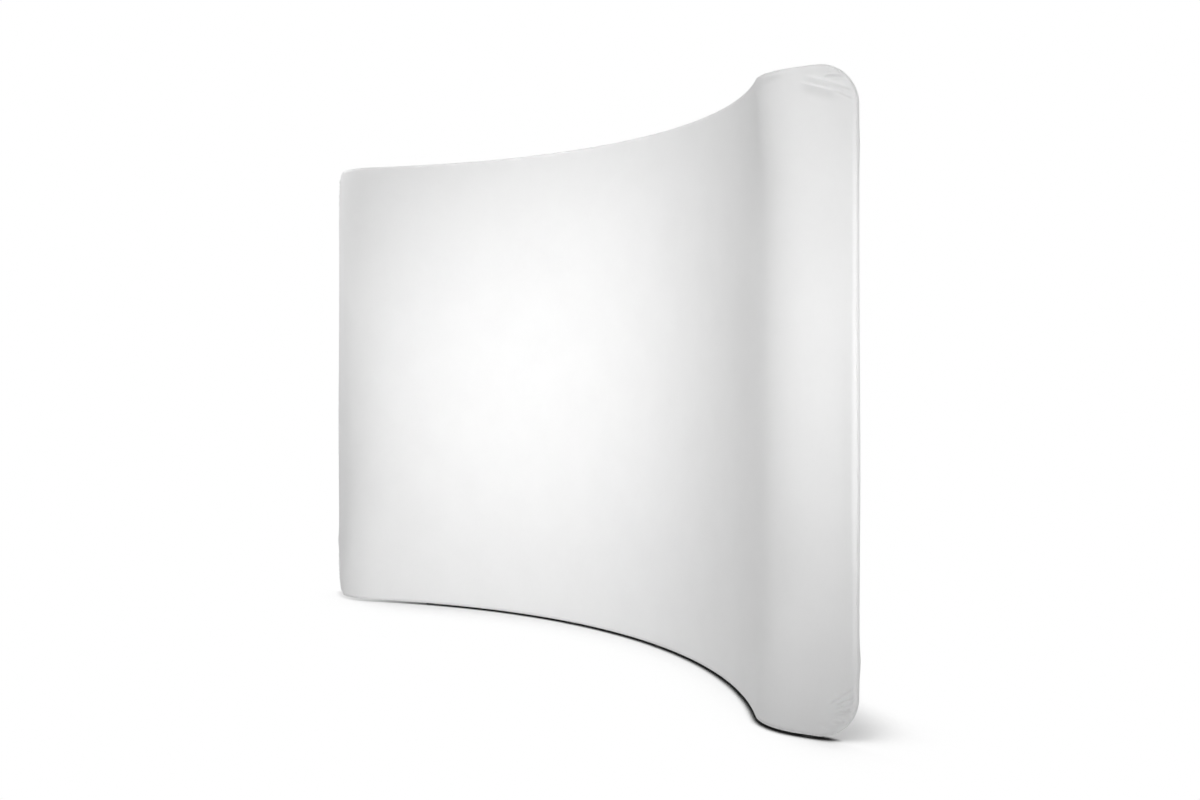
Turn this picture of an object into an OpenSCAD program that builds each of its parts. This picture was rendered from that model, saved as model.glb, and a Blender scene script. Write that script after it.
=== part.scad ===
// Curved fabric display wall: a zipped fabric cover over a bent tube frame with push button joints.
// Units are mm, +Z is up, the origin is on the floor under the middle of the overall box.
// The hollow side of the curve faces -Y, so people look at the wall from -Y.

/* [Wall] */
// Height from the floor to the top edge of the cover
wall_h = 2260; // [1800:10:2600]
// Radius of the curve, to the middle of the wall's thickness
rail_r = 2300; // [2000:10:3000]
// Angle that the main curve covers
sweep = 77; // [66:0.5:84]
// Radius of the outward bend at each end, to the middle of the thickness
bend_r = 225; // [190:5:300]
// Angle of the outward bend at each end
bend_turn = 60.5; // [50:0.5:70]
// Straight length between the plan bend and the rounded corner
wing_flat = 62; // [56:1:120]
// Radius of the rounded corners, to the middle of the tube
corner_r = 130; // [110:5:200]

/* [Frame tubes] */
// Outside diameter of the frame tube
tube_d = 32; // [30:1:38]
// Wall thickness of tubes and spigots
tube_wall = 1.5; // [1.2:0.1:2]
// Length of curved rail that belongs to each corner tube
corner_rail_l = 100; // [90:5:140]
// Straight leg of each corner tube above its bend
corner_leg = 142; // [120:1:200]
// Angle from the middle of the wall to each middle post
post_angle = 15; // [14:0.5:17]
// Clear height between a rail and the end of a post
post_lift = 4; // [2:1:8]

/* [Joints] */
// Radial play between a spigot and the tube that slides over it
spigot_play = 0.1; // [0.05:0.01:0.15]
// Length of a spigot on each side of its joint
spigot_half = 55; // [50:1:60]
// Distance from a joint to its button, and to its rivet
pin_shift = 28; // [26:1:30]
// Button diameter
pin_d = 7.5; // [6:0.5:8]
// Play round the button in its holes, on the diameter
pin_play = 1; // [0.8:0.1:1.2]
// How far the button stands out of the tube
pin_out = 2.5; // [2:0.1:3]
// Length of the spring leg from its bend to the button
leg_l = 45; // [42:1:46]
// Width of the spring strip
clip_w = 8; // [7:0.5:8]
// Thickness of the spring strip
clip_t = 0.8; // [0.6:0.1:1]
// Radius of the spring's bend, to the middle of the strip
clip_bend = 3; // [2.5:0.5:3.5]
// Rivet shank diameter
rivet_d = 4; // [3.2:0.2:4.8]

/* [Cover] */
// Fabric thickness as drawn
fabric_t = 1.2; // [1:0.1:1.5]
// Play between the frame tube and the fabric
cover_gap = 0.4; // [0.3:0.1:0.6]
// Angle of the edge seam round the tube, from the front
seam_angle = 50; // [40:1:60]
// Radius of the seam bead
seam_bead = 1.1; // [0.9:0.1:1.1]

/* [Zip] */
// Height of the zip above the floor
zip_z = 75; // [70:1:100]
// Angle from the middle to each end of the zip
zip_end = 34; // [30:0.5:34]
// Height of the slit in the back panel
slit_h = 14; // [14:0.5:18]
// Diameter of each coil of teeth
coil_d = 2.2; // [2:0.1:2.4]
// Width of tape sewn to the panel on each side of the slit
tape_sewn = 7; // [6:0.5:12]
// Length of the slider
slider_l = 14; // [12:0.5:16]
// Width of the slider
slider_w = 10; // [9.5:0.1:11]
// Length of the hanging pull
pull_l = 30; // [22:1:34]
// Width of the pull
pull_w = 8; // [7:0.5:10]

/* [Glides] */
// Gap between the floor and the cover
glide_h = 6; // [5:0.5:10]
// Length of a glide
glide_l = 40; // [30:1:50]
// Width of a glide
glide_w = 16; // [14:1:18]
// Angle from the middle to the inner glides
glide_in = 8; // [4:0.5:9]
// Angle from the middle to the outer glides
glide_out = 30; // [22:0.5:31]
// Screw shank diameter
screw_d = 5; // [4:0.5:6]

/* [Hidden] */
$fn = 64;
tube_ro = tube_d / 2;
tube_ri = tube_ro - tube_wall;
spig_ro = tube_ri - spigot_play;
spig_ri = spig_ro - tube_wall;
cov_ri = tube_ro + cover_gap;
cov_ro = cov_ri + fabric_t;
rail_z = glide_h + cov_ro;
top_z = wall_h - cov_ro;
mid_z = (rail_z + top_z) / 2;
leg_top = rail_z + corner_r + corner_leg;
deg_mm = 180 / (PI * rail_r);
end_a = sweep / 2;
far_a = end_a - bend_turn;
out_joint = end_a - corner_rail_l * deg_mm;
in_joint = out_joint / 3;
spig_a = spigot_half * deg_mm;
pin_a = pin_shift * deg_mm;
bend_x = (rail_r + bend_r) * sin(end_a);
bend_y = (rail_r + bend_r) * cos(end_a);
wing_x = bend_x - bend_r * sin(far_a);
wing_y = bend_y - bend_r * cos(far_a);
seam_c = cov_ri + seam_bead - 0.2;
seam_n = seam_c * cos(seam_angle);
seam_s = seam_c * sin(seam_angle);
coil_n = cov_ro + coil_d / 2 + 0.1;
zip_out = coil_n + coil_d / 2;
back_y = rail_r + zip_out;
front_y = bend_y - bend_r - cov_ro;
mid_y = -(back_y + front_y) / 2;
pin_tip = tube_ro + pin_out;
leg_w = spig_ri - 1.1 - clip_t;
coil_z = coil_d / 2 + 0.7;
seam_play = 0.1;
seam_band = 0.08;
// Curves of different radius meet in a short band that is a little thicker, so that they join.
band_l = 2;
band_t = 0.1;
cut_back = 0.1;
plate_t = 1;
plate_gap = 0.2;
tape_t = 0.8;
tape_play = 0.05;
rest_a = zip_end - (slider_l / 2 + 0.3) * deg_mm;
pull_n = coil_n + coil_d / 2 + plate_gap + plate_t + 1.4;
post_z = rail_z + tube_ro + post_lift;
hole_d = pin_d + pin_play;

// ---- places ----

module plan() {
    translate([0, mid_y, 0]) children();
}

module at_arc(a) {
    rotate([0, 0, -a]) translate([0, rail_r, 0]) children();
}

module arc_part(a0, a1) {
    rotate([0, 0, 90 - a1]) rotate_extrude(angle = a1 - a0, $fn = 360) translate([rail_r, 0]) children();
}

module bend_part() {
    cut_a = cut_back * 180 / (PI * bend_r);
    translate([bend_x, bend_y, 0]) rotate([0, 0, 270 - end_a + cut_a])
        rotate_extrude(angle = bend_turn - 2 * cut_a, $fn = 180)
            translate([bend_r, 0]) mirror([1, 0]) children();
}

module at_wing() {
    translate([wing_x, wing_y, 0]) rotate([0, 0, -far_a]) children();
}

module flat_part(l) {
    rotate([90, 0, 90]) linear_extrude(l) children();
}

module wing_part() {
    at_wing() translate([cut_back, 0, 0]) flat_part(wing_flat - cut_back) children();
}

module wing_tube_part() {
    at_wing() translate([cut_back, 0, 0]) flat_part(wing_flat - 2 * cut_back) children();
}

// The two bands of one side: where the main curve meets the bend, and the bend meets the straight.
module bands() {
    at_arc(end_a) translate([-band_l / 2, 0, 0]) flat_part(band_l) children();
    at_wing() translate([-band_l / 2, 0, 0]) flat_part(band_l) children();
}

// The two bands of one rounded corner: at the straight below it, and at the upright leg.
module corner_bands() {
    at_wing() translate([wing_flat - band_l / 2, 0, rail_z]) flat_part(band_l) children();
    at_upright() translate([0, 0, rail_z + corner_r - band_l / 2]) linear_extrude(band_l) children();
}

module corner_part() {
    translate([wing_flat, 0, rail_z + corner_r]) rotate([90, 0, 0]) rotate([0, 0, -90])
        rotate_extrude(angle = 90, $fn = 120) translate([corner_r, 0]) children();
}

module at_upright() {
    at_wing() translate([wing_flat + corner_r, 0, 0]) children();
}

module top_side() {
    translate([0, 0, rail_z + top_z]) mirror([0, 0, 1]) children();
}

module left_side() {
    mirror([1, 0, 0]) children();
}

// Joint frames: X runs along the tube past the joint, Z is the way the button points, origin at the button.
module rail_pin(a) {
    at_arc(a + pin_a) translate([0, 0, rail_z]) children();
}

module leg_pin() {
    at_upright() translate([0, 0, leg_top + pin_shift]) rotate([0, -90, 0]) children();
}

module upright_mid_pin() {
    at_upright() translate([0, 0, mid_z + pin_shift]) rotate([0, -90, 0]) children();
}

module post_mid_pin() {
    at_arc(post_angle) translate([0, 0, mid_z + pin_shift]) rotate([0, -90, 0]) children();
}

// ---- tube sections and joint pieces ----

module tube_2d() {
    difference() {
        circle(tube_ro);
        circle(tube_ri);
    }
}

module tube_band_2d() {
    difference() {
        circle(tube_ro + band_t);
        circle(tube_ri - band_t);
    }
}

module spigot_2d() {
    difference() {
        circle(spig_ro);
        circle(spig_ri);
    }
}

module pin_hole() {
    cylinder(d = hole_d, h = tube_ro + 2);
}

module rivet_hole() {
    translate([-2 * pin_shift, 0, 0]) cylinder(d = rivet_d + 0.2, h = tube_ro + 2);
}

module rivet() {
    translate([-2 * pin_shift, 0, 0]) {
        translate([0, 0, spig_ri - 2]) cylinder(d = rivet_d, h = tube_ro + 2 - spig_ri);
        intersection() {
            translate([0, 0, tube_ro - 2]) sphere(3.6);
            translate([0, 0, tube_ro]) cylinder(r = 4, h = 4);
        }
    }
}

// Side view of the fixed half of the spring: its bend and the leg that bears on the far side.
module clip_2d() {
    difference() {
        translate([-leg_l, leg_w - clip_bend]) circle(clip_bend + clip_t / 2);
        translate([-leg_l, leg_w - clip_bend]) circle(clip_bend - clip_t / 2);
        translate([-leg_l, -50]) square([100, 100]);
    }
    polygon([[-leg_l - 0.01, leg_w - 2 * clip_bend + clip_t / 2],
        [-leg_l - 0.01, leg_w - 2 * clip_bend - clip_t / 2],
        [2, -spig_ri + 1], [2, -spig_ri + 1 + clip_t]]);
}

module spring_clip() {
    rotate([90, 0, 0]) translate([0, 0, -clip_w / 2]) linear_extrude(clip_w) clip_2d();
}

module button() {
    translate([-leg_l + 0.1, -clip_w / 2, leg_w - clip_t / 2]) cube([leg_l + 6, clip_w, clip_t]);
    translate([0, 0, leg_w]) cylinder(d = pin_d, h = pin_tip - pin_d / 2 - leg_w);
    intersection() {
        translate([0, 0, pin_tip - pin_d / 2]) sphere(d = pin_d);
        translate([0, 0, pin_tip - pin_d / 2 - 0.5]) cylinder(d = pin_d + 1, h = pin_d);
    }
}

// ---- frame ----

module glide_spots() {
    for (a = [-glide_out, -glide_in, glide_in, glide_out]) at_arc(a) children();
    at_wing() translate([wing_flat / 2, 0, 0]) children();
    left_side() at_wing() translate([wing_flat / 2, 0, 0]) children();
}

module screw_holes() {
    glide_spots() cylinder(d = screw_d + 0.5, h = rail_z);
}

module rail_centre_raw() {
    difference() {
        arc_part(-in_joint, in_joint) translate([0, rail_z]) tube_2d();
        at_arc(in_joint - pin_a) translate([0, 0, rail_z]) cylinder(d = rivet_d + 0.2, h = tube_ro + 2);
        at_arc(-in_joint + pin_a) translate([0, 0, rail_z]) cylinder(d = rivet_d + 0.2, h = tube_ro + 2);
    }
}

module rail_side_raw() {
    difference() {
        arc_part(in_joint, out_joint) translate([0, rail_z]) tube_2d();
        rail_pin(in_joint) pin_hole();
        at_arc(out_joint - pin_a) translate([0, 0, rail_z]) cylinder(d = rivet_d + 0.2, h = tube_ro + 2);
    }
}

module corner_raw() {
    difference() {
        union() {
            arc_part(out_joint, end_a - cut_back * deg_mm) translate([0, rail_z]) tube_2d();
            bend_part() translate([0, rail_z]) tube_2d();
            wing_tube_part() translate([0, rail_z]) tube_2d();
            bands() translate([0, rail_z]) tube_band_2d();
            corner_bands() tube_band_2d();
            at_wing() corner_part() tube_2d();
            at_upright() translate([0, 0, rail_z + corner_r + cut_back])
                linear_extrude(corner_leg - cut_back) tube_2d();
        }
        rail_pin(out_joint) pin_hole();
        leg_pin() rivet_hole();
    }
}

module rail_bottom_centre() {
    color("#b9bcc0") plan() difference() {
        rail_centre_raw();
        screw_holes();
    }
}

module rail_bottom_right() {
    color("#b9bcc0") plan() difference() {
        rail_side_raw();
        screw_holes();
    }
}

module rail_bottom_left() {
    color("#b9bcc0") plan() left_side() difference() {
        rail_side_raw();
        screw_holes();
    }
}

module rail_top_centre() {
    color("#b9bcc0") plan() top_side() rail_centre_raw();
}

module rail_top_right() {
    color("#b9bcc0") plan() top_side() rail_side_raw();
}

module rail_top_left() {
    color("#b9bcc0") plan() left_side() top_side() rail_side_raw();
}

module corner_bottom_right() {
    color("#b2b5b9") plan() difference() {
        corner_raw();
        screw_holes();
    }
}

module corner_bottom_left() {
    color("#b2b5b9") plan() left_side() difference() {
        corner_raw();
        screw_holes();
    }
}

module corner_top_right() {
    color("#b2b5b9") plan() top_side() corner_raw();
}

module corner_top_left() {
    color("#b2b5b9") plan() left_side() top_side() corner_raw();
}

module upright_lower_raw() {
    difference() {
        at_upright() translate([0, 0, leg_top]) linear_extrude(mid_z - leg_top) tube_2d();
        leg_pin() pin_hole();
        upright_mid_pin() rivet_hole();
    }
}

module upright_upper_raw() {
    difference() {
        at_upright() translate([0, 0, mid_z]) linear_extrude(mid_z - leg_top) tube_2d();
        top_side() leg_pin() pin_hole();
        upright_mid_pin() pin_hole();
    }
}

module upright_right_lower() {
    color("#c0c3c7") plan() upright_lower_raw();
}

module upright_right_upper() {
    color("#c0c3c7") plan() upright_upper_raw();
}

module upright_left_lower() {
    color("#c0c3c7") plan() left_side() upright_lower_raw();
}

module upright_left_upper() {
    color("#c0c3c7") plan() left_side() upright_upper_raw();
}

module post_lower_raw() {
    difference() {
        at_arc(post_angle) translate([0, 0, post_z]) linear_extrude(mid_z - post_z) tube_2d();
        post_mid_pin() rivet_hole();
    }
}

module post_upper_raw() {
    difference() {
        at_arc(post_angle) translate([0, 0, mid_z]) linear_extrude(mid_z - post_z) tube_2d();
        post_mid_pin() pin_hole();
    }
}

module post_right_lower() {
    color("#c0c3c7") plan() post_lower_raw();
}

module post_right_upper() {
    color("#c0c3c7") plan() post_upper_raw();
}

module post_left_lower() {
    color("#c0c3c7") plan() left_side() post_lower_raw();
}

module post_left_upper() {
    color("#c0c3c7") plan() left_side() post_upper_raw();
}

// ---- joint pieces ----

module rail_spigot(a) {
    difference() {
        arc_part(a - spig_a, a + spig_a) translate([0, rail_z]) spigot_2d();
        rail_pin(a) pin_hole();
        at_arc(a - pin_a) translate([0, 0, rail_z]) cylinder(d = rivet_d + 0.2, h = tube_ro + 2);
    }
}

module rail_spigot_pair() {
    rail_spigot(in_joint);
    rail_spigot(out_joint);
}

module rail_spigots() {
    color("#8f9499") plan() {
        rail_spigot_pair();
        left_side() rail_spigot_pair();
        top_side() rail_spigot_pair();
        left_side() top_side() rail_spigot_pair();
    }
}

module straight_spigot() {
    difference() {
        translate([-pin_shift - spigot_half, 0, 0]) flat_part(2 * spigot_half) spigot_2d();
        pin_hole();
        rivet_hole();
    }
}

module upright_spigot_set() {
    leg_pin() straight_spigot();
    upright_mid_pin() straight_spigot();
    top_side() leg_pin() straight_spigot();
}

module upright_spigots() {
    color("#8f9499") plan() {
        upright_spigot_set();
        left_side() upright_spigot_set();
    }
}

module post_spigots() {
    color("#8f9499") plan() {
        post_mid_pin() straight_spigot();
        left_side() post_mid_pin() straight_spigot();
    }
}

module post_stub() {
    difference() {
        at_arc(post_angle) translate([0, 0, rail_z])
            linear_extrude(tube_ro + post_lift + spigot_half - 5) spigot_2d();
        arc_part(post_angle - 1, post_angle + 1) translate([0, rail_z]) circle(tube_ro);
    }
}

module post_stubs() {
    color("#8f9499") plan() {
        post_stub();
        left_side() post_stub();
        top_side() post_stub();
        left_side() top_side() post_stub();
    }
}

module quarter_rivets() {
    at_arc(in_joint - pin_a) translate([2 * pin_shift, 0, rail_z]) rivet();
    at_arc(out_joint - pin_a) translate([2 * pin_shift, 0, rail_z]) rivet();
    leg_pin() rivet();
}

module spigot_rivets() {
    color("#d3d5d8") plan() {
        quarter_rivets();
        left_side() quarter_rivets();
        top_side() quarter_rivets();
        left_side() top_side() quarter_rivets();
        upright_mid_pin() rivet();
        left_side() upright_mid_pin() rivet();
        post_mid_pin() rivet();
        left_side() post_mid_pin() rivet();
    }
}

module quarter_clips() {
    rail_pin(in_joint) spring_clip();
    rail_pin(out_joint) spring_clip();
    leg_pin() spring_clip();
}

module spring_clips() {
    color("#6f7478") plan() {
        quarter_clips();
        left_side() quarter_clips();
        top_side() quarter_clips();
        left_side() top_side() quarter_clips();
        upright_mid_pin() spring_clip();
        left_side() upright_mid_pin() spring_clip();
        post_mid_pin() spring_clip();
        left_side() post_mid_pin() spring_clip();
    }
}

module button_bottom_1() {
    color("#7f858a") plan() left_side() rail_pin(out_joint) button();
}

module button_bottom_2() {
    color("#7f858a") plan() left_side() rail_pin(in_joint) button();
}

module button_bottom_3() {
    color("#7f858a") plan() rail_pin(in_joint) button();
}

module button_bottom_4() {
    color("#7f858a") plan() rail_pin(out_joint) button();
}

module button_top_1() {
    color("#7f858a") plan() top_side() left_side() rail_pin(out_joint) button();
}

module button_top_2() {
    color("#7f858a") plan() top_side() left_side() rail_pin(in_joint) button();
}

module button_top_3() {
    color("#7f858a") plan() top_side() rail_pin(in_joint) button();
}

module button_top_4() {
    color("#7f858a") plan() top_side() rail_pin(out_joint) button();
}

module button_right_low() {
    color("#7f858a") plan() leg_pin() button();
}

module button_right_mid() {
    color("#7f858a") plan() upright_mid_pin() button();
}

module button_right_high() {
    color("#7f858a") plan() top_side() leg_pin() button();
}

module button_left_low() {
    color("#7f858a") plan() left_side() leg_pin() button();
}

module button_left_mid() {
    color("#7f858a") plan() left_side() upright_mid_pin() button();
}

module button_left_high() {
    color("#7f858a") plan() left_side() top_side() leg_pin() button();
}

module button_post_right() {
    color("#7f858a") plan() post_mid_pin() button();
}

module button_post_left() {
    color("#7f858a") plan() left_side() post_mid_pin() button();
}

// ---- cover ----

// Vertical section of the cover: X is the way to the back, Y is up.
module wall_2d(r) {
    translate([-r, rail_z]) square([2 * r, top_z - rail_z]);
    translate([0, rail_z]) circle(r);
    translate([0, top_z]) circle(r);
}

module seam_2d(r) {
    translate([0, rail_z]) translate([-seam_n, -seam_s]) circle(r);
    translate([0, top_z]) translate([-seam_n, seam_s]) circle(r);
}

// more is how much the skin is thickened on each face, and the seam's groove is widened by three times that.
module skin_2d(more = 0) {
    difference() {
        wall_2d(cov_ro + more);
        wall_2d(cov_ri - more);
        seam_2d(seam_bead + seam_play + 3 * more);
    }
}

// All that lies in front of the lines from the tubes' middles out through the seams.
module front_zone_2d() {
    reach = 4 * tube_d;
    polygon([[0, rail_z], [-reach * cos(seam_angle), rail_z - reach * sin(seam_angle)],
        [-2 * reach, rail_z - 2 * reach], [-2 * reach, top_z + 2 * reach],
        [-reach * cos(seam_angle), top_z + reach * sin(seam_angle)], [0, top_z]]);
}

module front_2d(more = 0) {
    intersection() {
        skin_2d(more);
        front_zone_2d();
    }
}

module back_2d(more = 0) {
    difference() {
        skin_2d(more);
        front_zone_2d();
    }
}

// Section across the free edge: X is away from the wall, Y is the way to the front.
module rim_2d() {
    difference() {
        circle(cov_ro);
        circle(cov_ri);
        translate([seam_s, seam_n]) circle(seam_bead + seam_play);
        translate([-2 * tube_d, -tube_d]) square([2 * tube_d, 2 * tube_d]);
    }
}

module rim_zone_2d() {
    reach = 4 * tube_d;
    polygon([[0, 0], [reach * sin(seam_angle), reach * cos(seam_angle)], [0, 2 * reach]]);
}

module rim_front_2d() {
    intersection() {
        rim_2d();
        rim_zone_2d();
    }
}

module rim_back_2d() {
    difference() {
        rim_2d();
        rim_zone_2d();
    }
}

module end_face_2d() {
    translate([0, rail_z + corner_r]) square([corner_r, top_z - rail_z - 2 * corner_r]);
    intersection() {
        union() {
            translate([0, rail_z + corner_r]) circle(corner_r, $fn = 120);
            translate([0, top_z - corner_r]) circle(corner_r, $fn = 120);
        }
        square([corner_r + 1, wall_h]);
    }
}

// The flat of an end, from_n to from_n + fabric_t away from the middle of the wall.
module end_slab(side) {
    translate([wing_flat, 0, 0]) rotate([90, 0, 0]) translate([0, 0, side > 0 ? cov_ri : -cov_ro])
        linear_extrude(fabric_t) end_face_2d();
}

module end_rim_side() {
    translate([wing_flat + corner_r, 0, rail_z + corner_r])
        linear_extrude(top_z - rail_z - 2 * corner_r) mirror([0, 1]) children();
}

module front_half() {
    bend_part() front_2d();
    wing_part() front_2d();
    bands() front_2d(band_t);
    at_wing() {
        end_slab(1);
        corner_part() rim_front_2d();
        top_side() corner_part() rim_front_2d();
        end_rim_side() rim_front_2d();
    }
}

module back_half() {
    bend_part() back_2d();
    wing_part() back_2d();
    bands() back_2d(band_t);
    at_wing() {
        end_slab(-1);
        corner_part() rim_back_2d();
        top_side() corner_part() rim_back_2d();
        end_rim_side() rim_back_2d();
    }
}

module seam_half() {
    bend_part() seam_2d(seam_bead);
    wing_part() seam_2d(seam_bead);
    bands() seam_2d(seam_bead + seam_band);
    at_wing() {
        corner_part() translate([seam_s, seam_n]) circle(seam_bead);
        top_side() corner_part() translate([seam_s, seam_n]) circle(seam_bead);
        end_rim_side() translate([seam_s, seam_n]) circle(seam_bead);
    }
}

module main_curve() {
    arc_part(-end_a + cut_back * deg_mm, end_a - cut_back * deg_mm) children();
}

module front_panel() {
    color("#f4f4f2") plan() union() {
        main_curve() front_2d();
        front_half();
        left_side() front_half();
    }
}

module back_panel() {
    color("#efefed") plan() difference() {
        union() {
            main_curve() back_2d();
            back_half();
            left_side() back_half();
        }
        arc_part(-zip_end - 0.4, zip_end + 0.4) translate([cov_ri - 1, zip_z - slit_h / 2])
            square([fabric_t + 2, slit_h]);
        screw_holes();
    }
}

module edge_seam() {
    color("#e6e6e3") plan() union() {
        main_curve() seam_2d(seam_bead);
        seam_half();
        left_side() seam_half();
    }
}

// ---- zip ----

module coil_2d() {
    translate([coil_n, coil_z]) circle(coil_d / 2);
}

module tape_2d() {
    difference() {
        polygon([[coil_n - tape_t / 2, coil_z + 0.2], [coil_n + tape_t / 2, coil_z + 0.2],
            [coil_n + tape_t / 2, slit_h / 2 + tape_sewn], [cov_ro + tape_play, slit_h / 2 + tape_sewn],
            [cov_ro + tape_play, slit_h / 2], [coil_n - tape_t / 2, slit_h / 2]]);
        coil_2d();
    }
}

module both_ways() {
    children();
    mirror([0, 1]) children();
}

module zip_tapes() {
    color("#e2e2df") plan() arc_part(-zip_end - 0.4, zip_end + 0.4)
        translate([0, zip_z]) both_ways() tape_2d();
}

module zip_coils() {
    color("#d6d6d3") plan() arc_part(-zip_end, zip_end) translate([0, zip_z]) both_ways() coil_2d();
}

module zip_stop() {
    at_arc(zip_end) translate([0, coil_n - 1, zip_z - coil_z - 0.2]) cube([4, 2, 2 * coil_z + 0.4]);
}

module zip_stops() {
    color("#a9adb1") plan() {
        zip_stop();
        left_side() zip_stop();
    }
}

// Section across the slider: X is away from the wall, Y is up, both from the middle of the coils.
module slider_2d() {
    inner = coil_d / 2 + plate_gap;
    for (s = [-1, 1]) {
        translate([s > 0 ? inner : -inner - plate_t, -slider_w / 2]) square([plate_t, slider_w]);
        for (t = [-1, 1])
            translate([s > 0 ? tape_t / 2 + 0.2 : -inner, t > 0 ? slider_w / 2 - plate_t : -slider_w / 2])
                square([inner - tape_t / 2 - 0.2, plate_t]);
    }
}

module zip_slider() {
    inner = coil_d / 2 + plate_gap;
    eye_h = pull_n - coil_n - inner - plate_t + 1.8;
    color("#9ea3a8") plan() at_arc(rest_a) translate([0, coil_n, zip_z]) {
        translate([-slider_l / 2, 0, 0]) flat_part(slider_l) slider_2d();
        translate([slider_l / 2 - 5, -inner - 0.5, -0.5]) cube([5, 2 * inner + 1, 1]);
        difference() {
            translate([-1.5, inner + plate_t - 0.5, -3]) cube([3, eye_h + 0.5, 6]);
            translate([-2, inner + plate_t + 0.4, -1.9]) cube([4, eye_h - 1.2, 3.8]);
        }
    }
}

module zip_pull() {
    color("#9ea3a8") plan() at_arc(rest_a) translate([0, pull_n, zip_z]) {
        translate([-pull_w / 2, 0, 0]) rotate([0, 90, 0]) cylinder(d = 1.6, h = pull_w);
        difference() {
            translate([-pull_w / 2, -0.7, -pull_l]) cube([pull_w, 1.4, pull_l]);
            translate([-2.2, -2, -5]) cube([4.4, 4, 10]);
        }
    }
}

// ---- glides ----

module cover_shell_solid() {
    arc_part(-end_a, end_a) translate([0, rail_z]) circle(cov_ro);
    at_wing() flat_part(wing_flat) translate([0, rail_z]) circle(cov_ro);
    left_side() at_wing() flat_part(wing_flat) translate([0, rail_z]) circle(cov_ro);
}

module glides() {
    color("#3c3f42") plan() difference() {
        glide_spots() translate([-glide_l / 2, -glide_w / 2, 0]) cube([glide_l, glide_w, glide_h + 1.8]);
        cover_shell_solid();
        glide_spots() translate([0, 0, -1]) cylinder(d = 2 * screw_d + 0.6, h = 4);
        glide_spots() cylinder(d = screw_d + 0.5, h = rail_z);
    }
}

module glide_screw() {
    difference() {
        union() {
            translate([0, 0, 0.6]) cylinder(d = 2 * screw_d - 0.4, h = 2.4);
            translate([0, 0, 1]) cylinder(d = screw_d, h = rail_z - tube_ri + 5);
        }
        translate([-2.5, -0.5, 0]) cube([5, 1, 1.8]);
        translate([-0.5, -2.5, 0]) cube([1, 5, 1.8]);
    }
}

module glide_screws() {
    color("#8a8f94") plan() glide_spots() glide_screw();
}

module bore_solid() {
    arc_part(-end_a, end_a) translate([0, rail_z]) circle(tube_ri);
    at_wing() flat_part(wing_flat) translate([0, rail_z]) circle(tube_ri);
    left_side() at_wing() flat_part(wing_flat) translate([0, rail_z]) circle(tube_ri);
}

module glide_nuts() {
    color("#8a8f94") plan() difference() {
        intersection() {
            glide_spots() translate([0, 0, rail_z - tube_ri - 1]) cylinder(d = 2.2 * screw_d, h = 6);
            bore_solid();
        }
        glide_spots() cylinder(d = screw_d + 0.1, h = rail_z);
    }
}

// ---- output ----

rail_bottom_left();
rail_bottom_centre();
rail_bottom_right();
rail_top_left();
rail_top_centre();
rail_top_right();
corner_bottom_left();
corner_bottom_right();
corner_top_left();
corner_top_right();
upright_left_lower();
upright_left_upper();
upright_right_lower();
upright_right_upper();
post_left_lower();
post_left_upper();
post_right_lower();
post_right_upper();
rail_spigots();
upright_spigots();
post_spigots();
post_stubs();
spigot_rivets();
spring_clips();
button_bottom_1();
button_bottom_2();
button_bottom_3();
button_bottom_4();
button_top_1();
button_top_2();
button_top_3();
button_top_4();
button_left_low();
button_left_mid();
button_left_high();
button_right_low();
button_right_mid();
button_right_high();
button_post_left();
button_post_right();
front_panel();
back_panel();
edge_seam();
zip_tapes();
zip_coils();
zip_stops();
zip_slider();
zip_pull();
glides();
glide_screws();
glide_nuts();
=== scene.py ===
# Curved fabric display wall: cloth, stitching, zip, finishes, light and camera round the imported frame.
import math

import bpy
import numpy as np
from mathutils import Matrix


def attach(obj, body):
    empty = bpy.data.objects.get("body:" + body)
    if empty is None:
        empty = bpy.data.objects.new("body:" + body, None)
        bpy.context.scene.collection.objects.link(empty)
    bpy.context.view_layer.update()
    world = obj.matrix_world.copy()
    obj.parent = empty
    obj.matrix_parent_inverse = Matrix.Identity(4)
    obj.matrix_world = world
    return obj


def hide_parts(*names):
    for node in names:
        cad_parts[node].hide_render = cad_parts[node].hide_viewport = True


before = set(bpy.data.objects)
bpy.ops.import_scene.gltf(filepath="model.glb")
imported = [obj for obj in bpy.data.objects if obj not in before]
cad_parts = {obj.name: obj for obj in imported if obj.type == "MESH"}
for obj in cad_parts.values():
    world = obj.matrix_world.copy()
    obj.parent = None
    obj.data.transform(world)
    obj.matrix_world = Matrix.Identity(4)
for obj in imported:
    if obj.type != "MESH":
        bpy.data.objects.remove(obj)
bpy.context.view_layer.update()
print("frame loaded,", len(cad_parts), "nodes")

# The wall's plan and section, in metres and degrees
wall = {
    "railRadius": 2.3,
    "sweep": 77,
    "bendRadius": 0.225,
    "bendTurn": 60.5,
    "straight": 0.062,
    "corner": 0.13,
    "coverRadius": 0.0176,
    "tubeRadius": 0.016,
    "lowRail": 0.0236,
    "highRail": 2.2424,
    "planY": -2.026693,
    "postAngle": 15,
}

halfSweep = math.radians(wall["sweep"] / 2)
farHeading = halfSweep - math.radians(wall["bendTurn"])
arcLength = wall["railRadius"] * halfSweep
bendLength = wall["bendRadius"] * math.radians(wall["bendTurn"])
halfLength = arcLength + bendLength + wall["straight"] + wall["corner"]
halfHeight = (wall["highRail"] - wall["lowRail"]) / 2
middleZ = (wall["highRail"] + wall["lowRail"]) / 2
bendX = (wall["railRadius"] + wall["bendRadius"]) * math.sin(halfSweep)
bendY = (wall["railRadius"] + wall["bendRadius"]) * math.cos(halfSweep)


view = {
    "place": (4.819, -3.569, 1.292),
    "heading": 52.17,
    "lens": 40.17,
    "shiftDown": -0.0392,
}

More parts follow.
